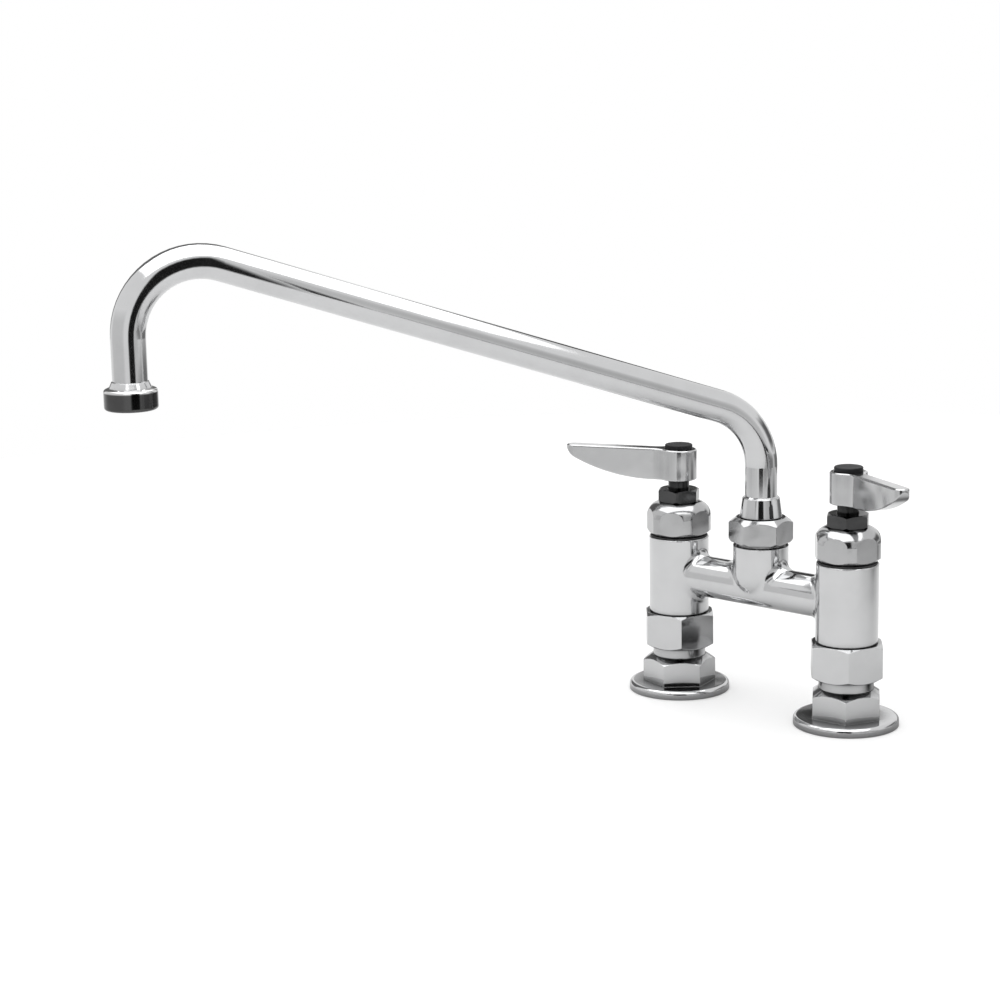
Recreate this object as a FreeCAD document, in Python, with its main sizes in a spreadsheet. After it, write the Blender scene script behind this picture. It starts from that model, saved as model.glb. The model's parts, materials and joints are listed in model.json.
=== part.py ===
"""Deck-mount bridge faucet with a swinging spout and two quarter-turn compression valves.

Millimetres, +Z up. The origin lies on the deck, midway between the two inlets. +X runs from the hot inlet to the
cold one and -Y points to the user. Every piece is modelled upright on its own axis and then placed.
"""
import FreeCAD, Part
import os
import re
import Sketcher

# Driving dimensions. Lengths are in millimetres and angles in degrees.
SIZES = {
    # deck and inlets
    "centres": 101.6,
    "flange_dia": 50.8,
    "flange_thick": 4.2,
    "flange_round": 2.0,
    "inlet_hex_wall": 2.675,
    "inlet_hex_height": 13.9,
    "hot_inlet_turn": 12.5,
    "cold_inlet_turn": 33.8,
    "inlet_chamfer": 3.3,
    "neck_dia": 26.4,
    "neck_height": 14.1,
    "inlet_thread_dia": 19.8,
    "inlet_thread_depth": 16.0,
    "inlet_bore": 15.0,
    # union between the flange's neck and the body
    "union_washer_thick": 1.6,
    "tail_step": 1.8,
    "tail_foot": 1.2,
    "ring_thick": 1.4,
    "ring_depth": 0.9,
    "ring_clearance": 0.35,
    "ring_opening": 4.0,
    "coupling_wall": 3.4,
    "coupling_height": 17.9,
    "coupling_lip": 4.4,
    "coupling_top_bevel": 2.5,
    "coupling_top_chamfer": 1.2,
    "coupling_foot_bevel": 3.4,
    "coupling_foot_chamfer": 2.2,
    "hot_coupling_turn": 41.0,
    "cold_coupling_turn": 37.0,
    # casting
    "column_dia": 30.0,
    "column_height": 38.5,
    "column_round": 0.6,
    "lower_bore": 16.0,
    "shelf_thick": 5.5,
    "shelf_drop": 3.3,
    "chamber_bore": 20.4,
    "bridge_dia": 20.5,
    "bridge_bore": 12.4,
    "bridge_rise": 19.4,
    "bridge_round": 4.0,
    "boss_shoulder": 1.7,
    "boss_rise": 20.9,
    "boss_round": 5.0,
    "boss_lift": 4.0,
    # valve
    "seat_shank_dia": 13.0,
    "seat_head_dia": 16.4,
    "seat_head": 2.2,
    "seat_lip": 0.6,
    "seat_hex": 8.6,
    "seat_washer_dia": 12.9,
    "seat_washer_thick": 2.6,
    "cup_wall": 0.8,
    "cup_rim": 1.4,
    "cup_floor": 2.5,
    "plunger_hex": 12.6,
    "plunger_gap": 1.75,
    "cup_gap": 5.05,
    "plunger_wall": 2.1,
    "plunger_floor": 5.0,
    "washer_screw_dia": 3.4,
    "washer_screw_length": 5.6,
    "washer_screw_head_dia": 6.2,
    "washer_screw_head": 1.9,
    "slot_width": 0.9,
    "slot_depth": 0.9,
    "lift": 3.6,
    # bonnet and packing
    "gasket_thick": 0.8,
    "gasket_inset": 0.7,
    "bonnet_hex": 30.0,
    "bonnet_corner": 1.15,
    "bonnet_height": 17.0,
    "bonnet_chamfer": 2.4,
    "hot_bonnet_turn": 54.0,
    "cold_bonnet_turn": 41.0,
    "bonnet_thread_dia": 23.0,
    "dome_land": 0.15,
    "shoulder_rise": 8.0,
    "packing_wall": 1.75,
    "packing_depth": 2.8,
    "gland_wall": 1.3,
    "gland_height": 3.6,
    "gland_gap": 0.6,
    "packing_nut_wall": 1.225,
    "packing_nut_lip": 2.1,
    "packing_nut_chamfer": 0.9,
    "packing_nut_turn": 30.0,
    # spindle and lever
    "stem_step": 0.85,
    "stem_collar_gap": 0.2,
    "stem_collar": 3.0,
    "stem_show": 4.8,
    "square_margin": 0.06,
    "hub_web": 2.2,
    "hub_dia": 18.0,
    "hub_height": 15.5,
    "lever_length": 57.0,
    "lever_thick": 7.4,
    "lever_straight": 11.0,
    "lever_tip": 1.7,
    "lever_rise": 1.5,
    "lever_nose_run": 5.0,
    "lever_nose_depth": 5.2,
    "lever_root_round": 9.0,
    "lever_top_round": 0.9,
    "lever_tip_flat": 0.3,
    "lever_forward": 30.0,
    "handle_screw_dia": 4.8,
    "handle_screw_length": 12.5,
    "handle_screw_head_dia": 8.8,
    "handle_screw_head": 2.4,
    "button_dia": 13.8,
    "button_inset": 1.3,
    "button_crown": 2.2,
    "button_edge": 1.6,
    "button_plug": 0.3,
    # spout
    "tube_dia": 15.875,
    "tube_wall": 1.2,
    "bend_radius": 32.5,
    "spout_corner": 62.85,
    "spout_rise": 18.46,
    "spout_reach": 304.8,
    "spout_end": 24.9,
    "spout_swing": 30.0,
    "swivel_neck_wall": 2.52,
    "swivel_neck": 7.6,
    "swivel_washer_thick": 1.0,
    "swivel_wall": 1.75,
    "swivel_height": 12.2,
    "swivel_lip": 2.9,
    "swivel_top_chamfer": 2.8,
    "swivel_foot_chamfer": 1.2,
    "swivel_turn": 4.5,
    "spigot_wall": 1.3125,
    "spigot_depth": 18.0,
    "spigot_flange_lip": 2.0,
    "spigot_flange": 2.3,
    "socket_floor": 1.51,
    "oring_section": 1.78,
    "oring_pitch": 3.4,
    "oring_inset": 2.2,
    "collar_foot_lip": 1.1,
    "collar_top_wall": 1.1,
    "collar_round": 0.6,
    "collar_height": 9.6,
    # outlet
    "outlet_wall": 2.5,
    "outlet_height": 9.9,
    "outlet_shoulder": 0.9,
    "outlet_lip": 1.2,
    "outlet_lip_width": 1.1,
    "outlet_round": 1.5,
    "ferrule_wall": 1.6125,
    "ferrule_flare": 2.6,
    "ferrule_stop": 1.0,
    "ferrule_edge": 0.4,
    "insert_height": 3.6,
    "insert_hole_dia": 2.4,
    "insert_ring_inset": 2.1,
    "aerator_washer_thick": 1.2,
    # clearances, each on the radius or on one side
    "thread_gap": 0.05,
    "running_gap": 0.08,
    "end_gap": 0.1,
    "seal_gap": 0.05,
    "open_gap": 0.3,
}

# Heights above the deck and radii that follow from the sizes, lowest piece first.
LEVELS = {
    "inlet_hex_top": "flange_thick + inlet_hex_height",
    "neck_top": "inlet_hex_top + neck_height",
    "tail_end": "neck_top + union_washer_thick",
    "ring_bottom": "tail_end + tail_foot",
    "ring_top": "ring_bottom + ring_thick",
    "coupling_top": "ring_top + coupling_lip",
    "coupling_bottom": "coupling_top - coupling_height",
    "column_bottom": "coupling_top + open_gap",
    "column_top": "column_bottom + column_height",
    "bridge_axis": "column_bottom + bridge_rise",
    "boss_top": "bridge_axis + boss_rise",
    "ball_centre": "bridge_axis - bridge_dia / 2 + boss_lift + boss_dia / 2",
    "shelf_top": "bridge_axis - bridge_bore / 2 - shelf_drop",
    "shelf_bottom": "shelf_top - shelf_thick",
    "seat_top": "shelf_top + seat_head",
    "washer_bottom": "seat_top + seal_gap",
    "washer_top": "washer_bottom + seat_washer_thick",
    "cup_top": "washer_top + cup_floor",
    "plunger_top": "collar_top - stem_collar - lift - plunger_gap",
    "plunger_bore_floor": "cup_top + plunger_floor",
    "bonnet_seat": "column_top + gasket_thick",
    "bonnet_bottom": "cup_top + lift + cup_gap",
    "dome_top": "bonnet_seat + bonnet_height",
    "shoulder": "bonnet_seat + shoulder_rise",
    "packing_floor": "dome_top - packing_depth",
    "gland_top": "dome_top + gland_height",
    "packing_top": "gland_top + gland_gap",
    "packing_nut_top": "packing_top + packing_nut_lip",
    "collar_top": "shoulder - end_gap",
    "nose_bottom": "plunger_bore_floor + lift + open_gap",
    "hub_bottom": "packing_nut_top + stem_show",
    "hub_top": "hub_bottom + hub_height",
    "button_floor": "hub_top - button_inset",
    "web_top": "button_floor - button_plug - end_gap - handle_screw_head",
    "socket_top": "web_top - hub_web",
    "square_top": "socket_top - open_gap",
    "swivel_neck_top": "boss_top + swivel_neck",
    "swivel_washer_top": "swivel_neck_top + swivel_washer_thick",
    "spigot_flange_bottom": "swivel_washer_top + end_gap",
    "spigot_flange_top": "spigot_flange_bottom + spigot_flange",
    "swivel_lip_bottom": "spigot_flange_top + 2 * end_gap",
    "swivel_top": "swivel_lip_bottom + swivel_lip",
    "swivel_bottom": "swivel_top - swivel_height",
    "spigot_top": "swivel_top + open_gap",
    "spigot_end": "swivel_neck_top - spigot_depth",
    "spigot_floor": "spigot_end - open_gap",
    "tube_foot": "spigot_end + oring_inset + oring_pitch + oring_section / 2 + socket_floor",
    "spout_knee": "boss_top + spout_corner",
    "bend_centre": "spout_knee + (spout_reach - bend_radius) * tan(spout_rise * 1 deg)"
                   " - bend_radius / cos(spout_rise * 1 deg)",
    "tube_end": "bend_centre - spout_end",
    "ferrule_bottom": "tube_end - ferrule_stop",
    "aerator_washer_bottom": "ferrule_bottom - aerator_washer_thick",
    "insert_bottom": "aerator_washer_bottom - insert_height",
    "outlet_bottom": "insert_bottom - outlet_lip",
    "outlet_top": "outlet_bottom + outlet_height",
    "tail_dia": "neck_dia - 2 * tail_step",
    "inlet_hex": "neck_dia + 2 * inlet_hex_wall",
    "ring_dia": "neck_dia + 2 * thread_gap - 2 * ring_clearance",
    "coupling_hex": "neck_dia + 2 * thread_gap + 2 * coupling_wall",
    "bonnet_dia": "bonnet_hex + 2 * bonnet_corner",
    "stem_nose_dia": "plunger_hex - 2 * plunger_wall",
    "stem_collar_dia": "plunger_hex - 2 * stem_collar_gap",
    "stem_dia": "stem_collar_dia - 2 * stem_step",
    "stem_square": "stem_dia / sqrt(2) - 2 * square_margin",
    "packing_dia": "stem_dia + 2 * packing_wall",
    "gland_dia": "packing_dia + 2 * gland_wall",
    "packing_hex": "gland_dia + 2 * packing_nut_wall",
    "lever_bottom_round": "lever_tip - lever_top_round - lever_tip_flat",
    "tube_bore": "tube_dia - 2 * tube_wall",
    "brazed_bore": "tube_dia + 2 * thread_gap",
    "spigot_dia": "brazed_bore + 2 * spigot_wall",
    "spigot_bore": "spigot_dia + 2 * running_gap",
    "spigot_flange_dia": "spigot_dia + 2 * spigot_flange_lip",
    "swivel_neck_dia": "spigot_bore + 2 * swivel_neck_wall",
    "swivel_hex": "swivel_neck_dia + 2 * swivel_wall",
    "boss_dia": "swivel_neck_dia + 2 * boss_shoulder",
    "collar_foot_dia": "spigot_dia + 2 * collar_foot_lip",
    "collar_top_dia": "brazed_bore + 2 * collar_top_wall",
    "ferrule_dia": "brazed_bore + 2 * ferrule_wall",
    "outlet_dia": "ferrule_dia + 2 * outlet_wall",
    "outlet_mouth": "ferrule_dia - 2 * outlet_lip_width",
    "insert_ring": "outlet_mouth / 2 - insert_ring_inset",
    "oring_seat": "spigot_bore / 2 - thread_gap - oring_section",
}

doc = FreeCAD.newDocument("Faucet")
sheet = doc.addObject("Spreadsheet::Sheet", "Sizes")
for row, (alias, size) in enumerate(SIZES.items(), 1):
    sheet.set(f"A{row}", alias)
    sheet.set(f"B{row}", str(size))
    sheet.setAlias(f"B{row}", alias)
doc.recompute()


# Expressions and sketches

def bound(text):
    """An expression on the sheet's cells, with each level spelled out in sizes."""
    def spell(match):
        word = match.group()
        if word in LEVELS:
            return "(" + bound(LEVELS[word]) + ")"
        return "Sizes." + word if word in SIZES else word
    return re.sub(r"[a-z][a-z_]*", spell, text)


def value(text):
    """The number that an expression comes to."""
    return float(sheet.evalExpression(bound(text)))


def new_body(name, x="0", turn="0"):
    """An empty body, placed on the axis at x and turned about it by an angle in degrees."""
    body = doc.addObject("PartDesign::Body", name)
    body.Label = name
    body.Placement = FreeCAD.Placement(FreeCAD.Vector(), FreeCAD.Rotation(FreeCAD.Vector(0, 0, 1), 1))
    body.setExpression("Placement.Rotation.Angle", f"({bound(turn)}) * 1 deg")
    body.setExpression("Placement.Base.x", bound(x))
    return body


def feature(body, kind):
    return body.newObject("PartDesign::" + kind, body.Name + "_" + kind)


def sketch(body, role, height="0"):
    """A sketch on one of the body's own planes, moved along the plane's normal."""
    drawing = body.newObject("Sketcher::SketchObject", body.Name + "_sketch")
    plane = next(item for item in body.Origin.OriginFeatures if item.Role == role)
    drawing.AttachmentSupport = [(plane, "")]
    drawing.MapMode = "FlatFace"
    drawing.setExpression("AttachmentOffset.Base.z", bound(height))
    return drawing


def dimension(drawing, text, kind, *parts):
    """One sketch constraint whose value is an expression."""
    number = drawing.addConstraint(Sketcher.Constraint(kind, *parts, value(text)))
    drawing.setExpression(f"Constraints[{number}]", bound(text))


def hold(drawing, geometry, point, x, y):
    """Hold a point of the sketch at x, y. A zero puts it on the sketch's axis."""
    for axis, kind, text in ((-2, "DistanceX", x), (-1, "DistanceY", y)):
        if text == "0":
            drawing.addConstraint(Sketcher.Constraint("PointOnObject", geometry, point, axis))
        else:
            dimension(drawing, text, kind, -1, 1, geometry, point)


def join(drawing, first, second):
    """The end of one edge meets the start of the next."""
    drawing.addConstraint(Sketcher.Constraint("Coincident", first, 2, second, 1))


def smooth(drawing, first, first_point, second, second_point):
    drawing.addConstraint(Sketcher.Constraint("Tangent", first, first_point, second, second_point))


def polygon(drawing, corners):
    """A closed outline through corners given as pairs of expressions."""
    points = [FreeCAD.Vector(value(x), value(y), 0) for x, y in corners]
    start = drawing.GeometryCount
    count = len(points)
    for number, point in enumerate(points):
        drawing.addGeometry(Part.LineSegment(point, points[(number + 1) % count]), False)
    for number, corner in enumerate(corners):
        join(drawing, start + number, start + (number + 1) % count)
        hold(drawing, start + number, 1, *corner)


def circle(drawing, radius, x="0", y="0"):
    centre = FreeCAD.Vector(value(x), value(y), 0)
    edge = drawing.addGeometry(Part.Circle(centre, FreeCAD.Vector(0, 0, 1), value(radius)), False)
    dimension(drawing, radius, "Radius", edge)
    hold(drawing, edge, 3, x, y)


def hexagon(drawing, across):
    """A hexagon with a corner on the sketch's vertical axis."""
    flat, half, tip = f"({across}) / 2", f"({across}) / (2 * sqrt(3))", f"({across}) / sqrt(3)"
    polygon(drawing, [("0", tip), ("-" + flat, half), ("-" + flat, "-" + half),
                      ("0", "-" + tip), (flat, "-" + half), (flat, half)])


def square(drawing, side):
    half = f"({side}) / 2"
    polygon(drawing, [(half, half), ("-" + half, half), ("-" + half, "-" + half), (half, "-" + half)])


# Features

def turn_profile(body, corners, kind="Revolution"):
    """Turn a closed outline of (radius, height) pairs about the body's axis."""
    drawing = sketch(body, "XZ_Plane")
    polygon(drawing, corners)
    return turn_sketch(body, drawing, kind)


def turn_sketch(body, drawing, kind="Revolution"):
    turned = feature(body, kind)
    turned.Profile = drawing
    turned.ReferenceAxis = (drawing, ["V_Axis"])
    turned.Angle = 360
    doc.recompute()
    return turned


def raise_or_cut(body, drawing, kind, length, reverse=False, both_ways=False):
    """A pad along the sketch's normal, or a pocket against it."""
    made = feature(body, kind)
    made.Profile = drawing
    made.setExpression("Length", bound(length))
    made.Reversed = reverse
    if both_ways:
        made.SideType = "Symmetric"
    doc.recompute()
    return made


def rods(body, kind, radius, bottom, top, places=(("0", "0"),)):
    """Round pads or pockets between two heights, at one or more places."""
    drawing = sketch(body, "XY_Plane", bottom)
    for x, y in places:
        circle(drawing, radius, x, y)
    return raise_or_cut(body, drawing, kind, f"({top}) - ({bottom})", reverse=kind == "Pocket")


def hex_flats(body, across, bottom, top):
    """Cut a turned piece down to a hexagon between two heights."""
    drawing = sketch(body, "XY_Plane", bottom)
    circle(drawing, across)
    hexagon(drawing, across)
    return raise_or_cut(body, drawing, "Pocket", f"({top}) - ({bottom})", reverse=True)


def cut_outline(body, draw, size, bottom, top):
    """Pocket a drawn outline of that size between two heights."""
    drawing = sketch(body, "XY_Plane", bottom)
    draw(drawing, size)
    return raise_or_cut(body, drawing, "Pocket", f"({top}) - ({bottom})", reverse=True)


def round_edges(body, radius, wanted):
    """Fillet those edges of the body that the test picks."""
    doc.recompute()
    base = body.Tip
    names = [f"Edge{number}" for number, edge in enumerate(base.Shape.Edges, 1) if wanted(edge)]
    rounded = feature(body, "Fillet")
    rounded.Base = (base, names)
    rounded.setExpression("Radius", bound(radius))
    doc.recompute()
    return rounded


def ring_edge(radius, height):
    """A test for the full or split circle of that radius about the axis at that height."""
    def wanted(edge):
        box = edge.BoundBox
        level = abs(box.ZMin - value(height)) < 0.001 and abs(box.ZMax - value(height)) < 0.001
        curve = edge.Curve
        return level and isinstance(curve, Part.Circle) and abs(curve.Radius - value(radius)) < 0.001
    return wanted


def driver_slot(body, length, bottom, top):
    """A screwdriver slot across a screw's head."""
    drawing = sketch(body, "XY_Plane", bottom)
    half, side = f"({length}) / 2", "slot_width / 2"
    polygon(drawing, [(half, side), ("-" + half, side), ("-" + half, "-" + side), (half, "-" + side)])
    raise_or_cut(body, drawing, "Pocket", f"({top}) - ({bottom})", reverse=True)


# Casting

def bridge_body():
    """Two columns, the bridge and the centre boss in one hollow casting, with its waterways."""
    body = new_body("bridge_body")
    columns = [("-centres / 2", "0"), ("centres / 2", "0")]
    beam = sketch(body, "YZ_Plane")
    circle(beam, "bridge_dia / 2", "0", "bridge_axis")
    raise_or_cut(body, beam, "Pad", "centres", both_ways=True)
    rods(body, "Pad", "column_dia / 2", "column_bottom", "column_top", columns)
    rods(body, "Pad", "boss_dia / 2", "ball_centre", "boss_top")
    ball = feature(body, "AdditiveSphere")
    ball.setExpression("Radius", bound("boss_dia / 2"))
    ball.setExpression("Placement.Base.z", bound("ball_centre"))
    doc.recompute()

    def on_beam(edge):
        """An edge that runs round the bridge, not along it."""
        span = edge.LastParameter - edge.FirstParameter
        points = [edge.valueAt(edge.FirstParameter + share * span) for share in (0.2, 0.5, 0.8)]
        axis, radius = value("bridge_axis"), value("bridge_dia / 2")
        near = all(abs((p.y ** 2 + (p.z - axis) ** 2) ** 0.5 - radius) < 0.01 for p in points)
        return near and edge.BoundBox.YLength > radius / 4

    def meets_column(edge):
        return on_beam(edge) and abs(edge.BoundBox.Center.x) > value("centres / 4")

    def meets_boss(edge):
        return on_beam(edge) and abs(edge.BoundBox.Center.x) < value("centres / 4")

    round_edges(body, "bridge_round", meets_column)
    round_edges(body, "boss_round", meets_boss)
    rods(body, "Pad", "tail_dia / 2", "tail_end", "column_bottom", columns)
    rods(body, "Pad", "swivel_neck_dia / 2", "boss_top", "swivel_neck_top")
    rods(body, "Pocket", "lower_bore / 2", "tail_end", "shelf_bottom", columns)
    rods(body, "Pocket", "seat_shank_dia / 2 + thread_gap", "shelf_bottom", "shelf_top", columns)
    rods(body, "Pocket", "chamber_bore / 2", "shelf_top", "column_top", columns)
    rods(body, "Pocket", "bonnet_thread_dia / 2 + thread_gap", "bonnet_bottom", "column_top", columns)
    duct = sketch(body, "YZ_Plane")
    circle(duct, "bridge_bore / 2", "0", "bridge_axis")
    raise_or_cut(body, duct, "Pocket", "centres", both_ways=True)
    rods(body, "Pocket", "spigot_bore / 2", "spigot_floor", "swivel_neck_top")
    rods(body, "Pocket", "tube_bore / 2", "bridge_axis", "spigot_floor")
    groove = sketch(body, "XY_Plane", "ring_bottom")
    for x, y in columns:
        circle(groove, "tail_dia / 2 - ring_depth", x, y)
        circle(groove, "tail_dia / 2 + ring_depth", x, y)
    raise_or_cut(body, groove, "Pocket", "ring_thick", reverse=True)

    def column_rim(edge):
        level = abs(edge.BoundBox.ZMin - value("column_top")) < 0.001
        if not level or not isinstance(edge.Curve, Part.Circle):
            return False
        return abs(edge.Curve.Radius - value("column_dia / 2")) < 0.001

    round_edges(body, "column_round", column_rim)
    return body


# Inlet union

def inlet_flange(name, x, turn):
    body = new_body(name, x, turn)
    corner = "inlet_hex / sqrt(3)"
    turn_profile(body, [
        ("inlet_thread_dia / 2", "0"),
        ("flange_dia / 2", "0"),
        ("flange_dia / 2", "flange_thick"),
        (corner, "flange_thick"),
        (corner, "inlet_hex_top - inlet_chamfer"),
        ("neck_dia / 2 + open_gap", "inlet_hex_top"),
        ("neck_dia / 2", "inlet_hex_top"),
        ("neck_dia / 2", "neck_top"),
        ("inlet_bore / 2", "neck_top"),
        ("inlet_bore / 2", "inlet_thread_depth"),
        ("inlet_thread_dia / 2", "inlet_thread_depth"),
    ])
    hex_flats(body, "inlet_hex", "flange_thick", "inlet_hex_top")
    round_edges(body, "flange_round", ring_edge("flange_dia / 2", "flange_thick"))
    return body


def coupling_nut(name, x, turn):
    body = new_body(name, x, turn)
    corner = "coupling_hex / sqrt(3)"
    turn_profile(body, [
        ("neck_dia / 2 + thread_gap", "coupling_bottom"),
        (corner + " - coupling_foot_bevel", "coupling_bottom"),
        (corner, "coupling_bottom + coupling_foot_chamfer"),
        (corner, "coupling_top - coupling_top_chamfer"),
        (corner + " - coupling_top_bevel", "coupling_top"),
        ("tail_dia / 2 + open_gap", "coupling_top"),
        ("tail_dia / 2 + open_gap", "ring_top"),
        ("neck_dia / 2 + thread_gap", "ring_top"),
    ])
    hex_flats(body, "coupling_hex", "coupling_bottom", "coupling_top")
    return body


def retaining_ring(name, x):
    """An open spring ring in the groove of the body's tail, under the coupling nut's lip."""
    body = new_body(name, x)
    turn_profile(body, [
        ("tail_dia / 2 - ring_depth + thread_gap", "ring_bottom"),
        ("ring_dia / 2", "ring_bottom"),
        ("ring_dia / 2", "ring_top"),
        ("tail_dia / 2 - ring_depth + thread_gap", "ring_top"),
    ])
    gap = sketch(body, "XY_Plane", "ring_bottom")
    half = "ring_opening / 2"
    polygon(gap, [("0", half), ("0", "-" + half), ("ring_dia", "-" + half), ("ring_dia", half)])
    raise_or_cut(body, gap, "Pocket", "ring_thick", reverse=True)
    return body


def flat_ring(name, inner, outer, bottom, top, x="0"):
    """A washer, gasket or packing: a plain turned ring."""
    body = new_body(name, x)
    turn_profile(body, [(inner, bottom), (outer, bottom), (outer, top), (inner, top)])
    return body


# Valve

def valve_seat(name, x):
    """A screwed-in seat with a raised lip and a hexagon hole for its key."""
    body = new_body(name, x)
    turn_profile(body, [
        ("0", "shelf_bottom"),
        ("seat_shank_dia / 2", "shelf_bottom"),
        ("seat_shank_dia / 2", "shelf_top"),
        ("seat_head_dia / 2", "shelf_top"),
        ("seat_head_dia / 2", "seat_top - seat_lip"),
        ("seat_hex / sqrt(3) + 2 * seat_lip", "seat_top - seat_lip"),
        ("seat_hex / sqrt(3) + seat_lip", "seat_top"),
        ("0", "seat_top"),
    ])
    cut_outline(body, hexagon, "seat_hex", "shelf_bottom", "seat_top")
    return body


def plunger(name, x, turn):
    """A hexagon slide, cupped below for the washer and bored above for the spindle's thread."""
    body = new_body(name, x, turn)
    stem = sketch(body, "XY_Plane", "cup_top")
    hexagon(stem, "plunger_hex")
    raise_or_cut(body, stem, "Pad", "plunger_top - cup_top")
    recess = "seat_washer_dia / 2 + thread_gap"
    turn_profile(body, [
        ("0", "washer_top"),
        (recess, "washer_top"),
        (recess, "washer_bottom + cup_rim"),
        (recess + " + cup_wall", "washer_bottom + cup_rim"),
        (recess + " + cup_wall", "cup_top"),
        ("0", "cup_top"),
    ])
    rods(body, "Pocket", "stem_nose_dia / 2 + running_gap", "plunger_bore_floor", "plunger_top")
    rods(body, "Pocket", "washer_screw_dia / 2 + thread_gap",
         "washer_top", "washer_top + washer_screw_length")
    return body


def washer_screw(name, x):
    body = new_body(name, x)
    head_bottom = "washer_bottom - washer_screw_head"
    turn_profile(body, [
        ("0", head_bottom),
        ("washer_screw_head_dia / 2", head_bottom),
        ("washer_screw_head_dia / 2", "washer_bottom"),
        ("washer_screw_dia / 2", "washer_bottom"),
        ("washer_screw_dia / 2", "washer_top + washer_screw_length - open_gap"),
        ("0", "washer_top + washer_screw_length - open_gap"),
    ])
    driver_slot(body, "washer_screw_head_dia", head_bottom, head_bottom + " + slot_depth")
    return body


def bonnet(name, x, turn):
    """A domed hexagon with a threaded skirt, a hexagon guide for the plunger and a packing box."""
    body = new_body(name, x, turn)
    corner = "bonnet_dia / 2"
    stem_bore = "stem_dia / 2 + running_gap"
    turn_profile(body, [
        (stem_bore, "bonnet_bottom"),
        ("bonnet_thread_dia / 2", "bonnet_bottom"),
        ("bonnet_thread_dia / 2", "bonnet_seat"),
        (corner + " - bonnet_chamfer", "bonnet_seat"),
        (corner, "bonnet_seat + bonnet_chamfer"),
        (corner, "dome_top"),
        ("gland_dia / 2", "dome_top"),
        ("gland_dia / 2", "gland_top"),
        ("packing_dia / 2", "gland_top"),
        ("packing_dia / 2", "packing_floor"),
        (stem_bore, "packing_floor"),
    ])
    round_edges(body, corner + " - gland_dia / 2 - dome_land", ring_edge(corner, "dome_top"))
    hex_flats(body, "bonnet_hex", "bonnet_seat", "dome_top")
    cut_outline(body, hexagon, "plunger_hex + 2 * running_gap", "bonnet_bottom", "shoulder")
    return body


def packing_nut(name, x, turn):
    body = new_body(name, x, turn)
    corner = "packing_hex / sqrt(3)"
    stem_bore = "stem_dia / 2 + running_gap"
    thread = "gland_dia / 2 + thread_gap"
    turn_profile(body, [
        (thread, "dome_top"),
        (corner + " - packing_nut_chamfer", "dome_top"),
        (corner, "dome_top + packing_nut_chamfer"),
        (corner, "packing_nut_top - packing_nut_chamfer"),
        (corner + " - 2 * packing_nut_chamfer", "packing_nut_top"),
        (stem_bore, "packing_nut_top"),
        (stem_bore, "packing_top"),
        (thread, "packing_top"),
    ])
    hex_flats(body, "packing_hex", "dome_top", "packing_nut_top")
    return body


# Lever

def spindle(name, x, turn):
    """The turning stem: threaded nose, thrust collar, stem and a square for the lever."""
    body = new_body(name, x, turn)
    turn_profile(body, [
        ("0", "nose_bottom"),
        ("stem_nose_dia / 2", "nose_bottom"),
        ("stem_nose_dia / 2", "collar_top - stem_collar"),
        ("stem_collar_dia / 2", "collar_top - stem_collar"),
        ("stem_collar_dia / 2", "collar_top"),
        ("stem_dia / 2", "collar_top"),
        ("stem_dia / 2", "hub_bottom"),
        ("0", "hub_bottom"),
    ])
    drive = sketch(body, "XY_Plane", "hub_bottom")
    square(drive, "stem_square")
    raise_or_cut(body, drive, "Pad", "square_top - hub_bottom")
    rods(body, "Pocket", "handle_screw_dia / 2 + thread_gap",
         "web_top - handle_screw_length - open_gap", "square_top")
    return body


def arc_from(start, heading, end):
    """The arc that leaves a point in a given direction and ends at another point."""
    chord = end - start
    along = FreeCAD.Vector(heading).normalize()
    across = FreeCAD.Vector(-along.y, along.x, 0)
    radius = chord.Length ** 2 / (2 * chord.dot(across))
    centre = start + across * radius
    middle = (start - centre + (end - centre)).normalize() * radius
    return Part.Arc(start, centre + middle, end)


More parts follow.
